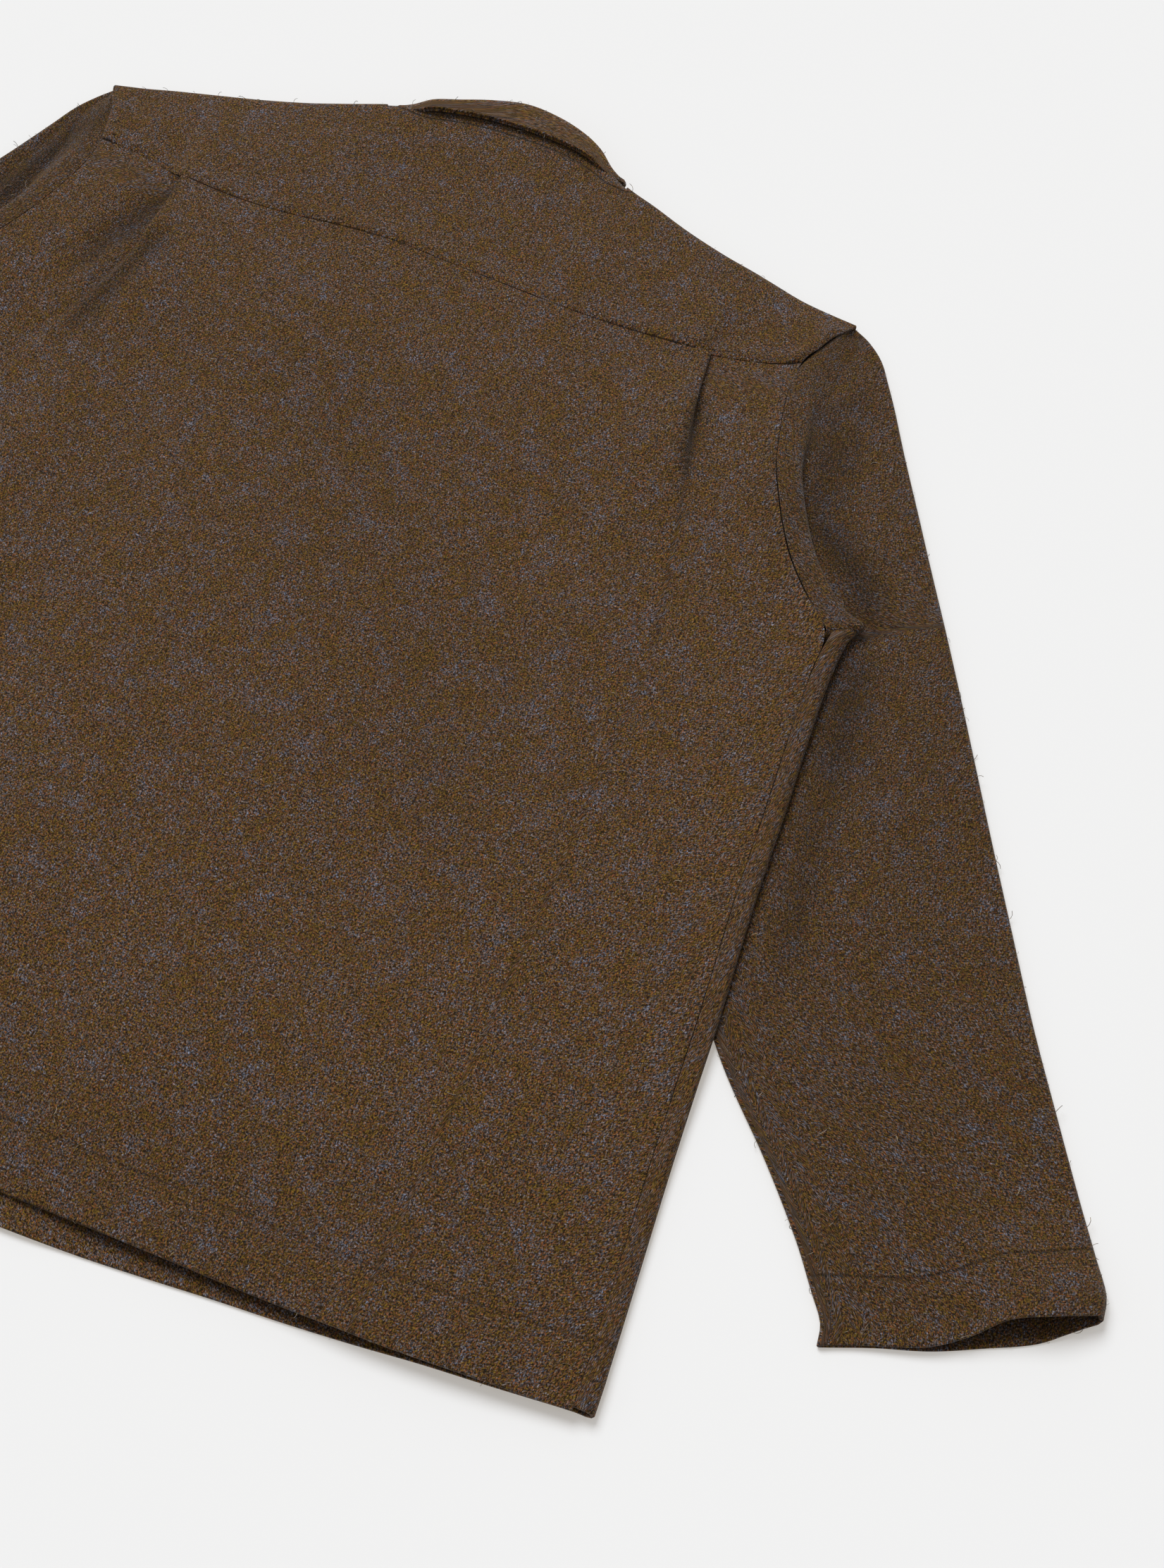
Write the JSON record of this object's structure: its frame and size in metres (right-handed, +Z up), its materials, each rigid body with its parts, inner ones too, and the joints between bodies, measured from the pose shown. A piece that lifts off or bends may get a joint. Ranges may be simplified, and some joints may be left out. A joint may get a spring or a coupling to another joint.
{
  "type": "tweed jacket",
  "caption": "Boxy tweed jacket laid face down, with a wide yoke, open pleats, a turned-down collar and both sleeves swung down beside the body.",
  "frame": {"origin": "middle of the bounding box in plan, on the surface that the jacket lies on", "axes": "+X across the body to the right of someone looking down on the back with the collar away from them, +Y from the hem towards the collar, +Z up from the surface"},
  "size_m": [1.043, 0.748, 0.0164],
  "materials": {
    "tweed_back": "matte brushed wool tweed",
    "tweed_yoke": "matte brushed wool tweed",
    "tweed_front": "matte brushed wool tweed",
    "tweed_sleeve": "matte brushed wool tweed",
    "tweed_collar": "matte brushed wool tweed"
  },
  "bodies": {
    "root": {"back": "tweed_back", "yoke": "tweed_yoke", "front_right": "tweed_front", "front_left": "tweed_front", "sleeve_right": "tweed_sleeve", "sleeve_left": "tweed_sleeve", "collar_top": "tweed_collar", "collar_under": "tweed_collar"}
  },
  "joints": []
}
